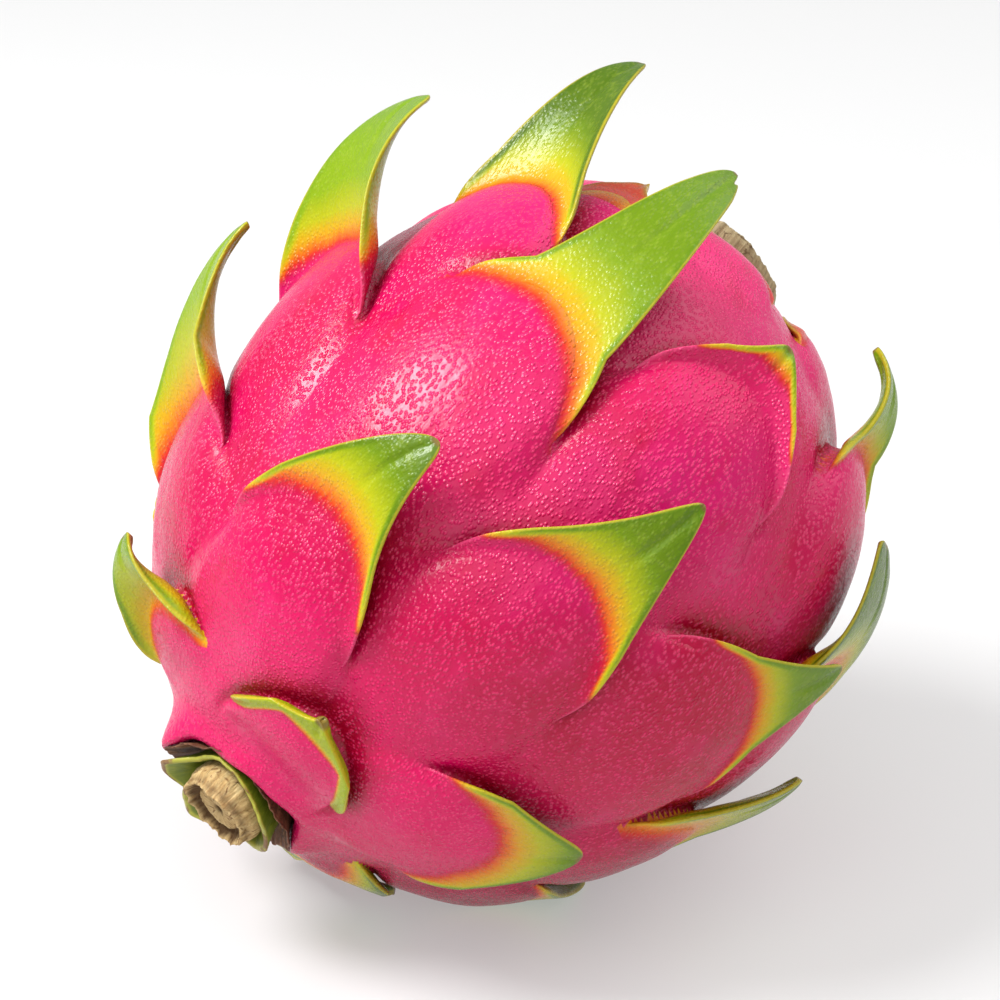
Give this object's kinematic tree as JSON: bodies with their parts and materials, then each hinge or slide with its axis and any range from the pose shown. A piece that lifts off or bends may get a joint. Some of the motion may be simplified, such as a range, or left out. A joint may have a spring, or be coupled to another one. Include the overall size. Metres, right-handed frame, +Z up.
{
  "type": "dragon fruit",
  "caption": "Whole dragon fruit lying on its side, a rounded rind wrapped in pointed leafy scales, with a cut woody stem stub and the dry scar of its flower.",
  "frame": {"origin": "on the ground, under the middle of the fruit's whole outline", "axes": "+Z up; +X along the fruit's level heading, from the cut stem to the flower end, which is raised 30.5 degrees; +Y to the far side in the picture"},
  "size_m": [0.1052, 0.0984, 0.1075],
  "materials": {
    "rind": "waxy crimson-pink rind that turns yellow and then green along the tongues of its scales",
    "stem": "dry cut wood with green flesh round it",
    "scar": "dry, rough and dull"
  },
  "bodies": {
    "root": {"fruit": "rind", "stem_stub": "stem", "flower_scar": "scar"}
  },
  "joints": []
}
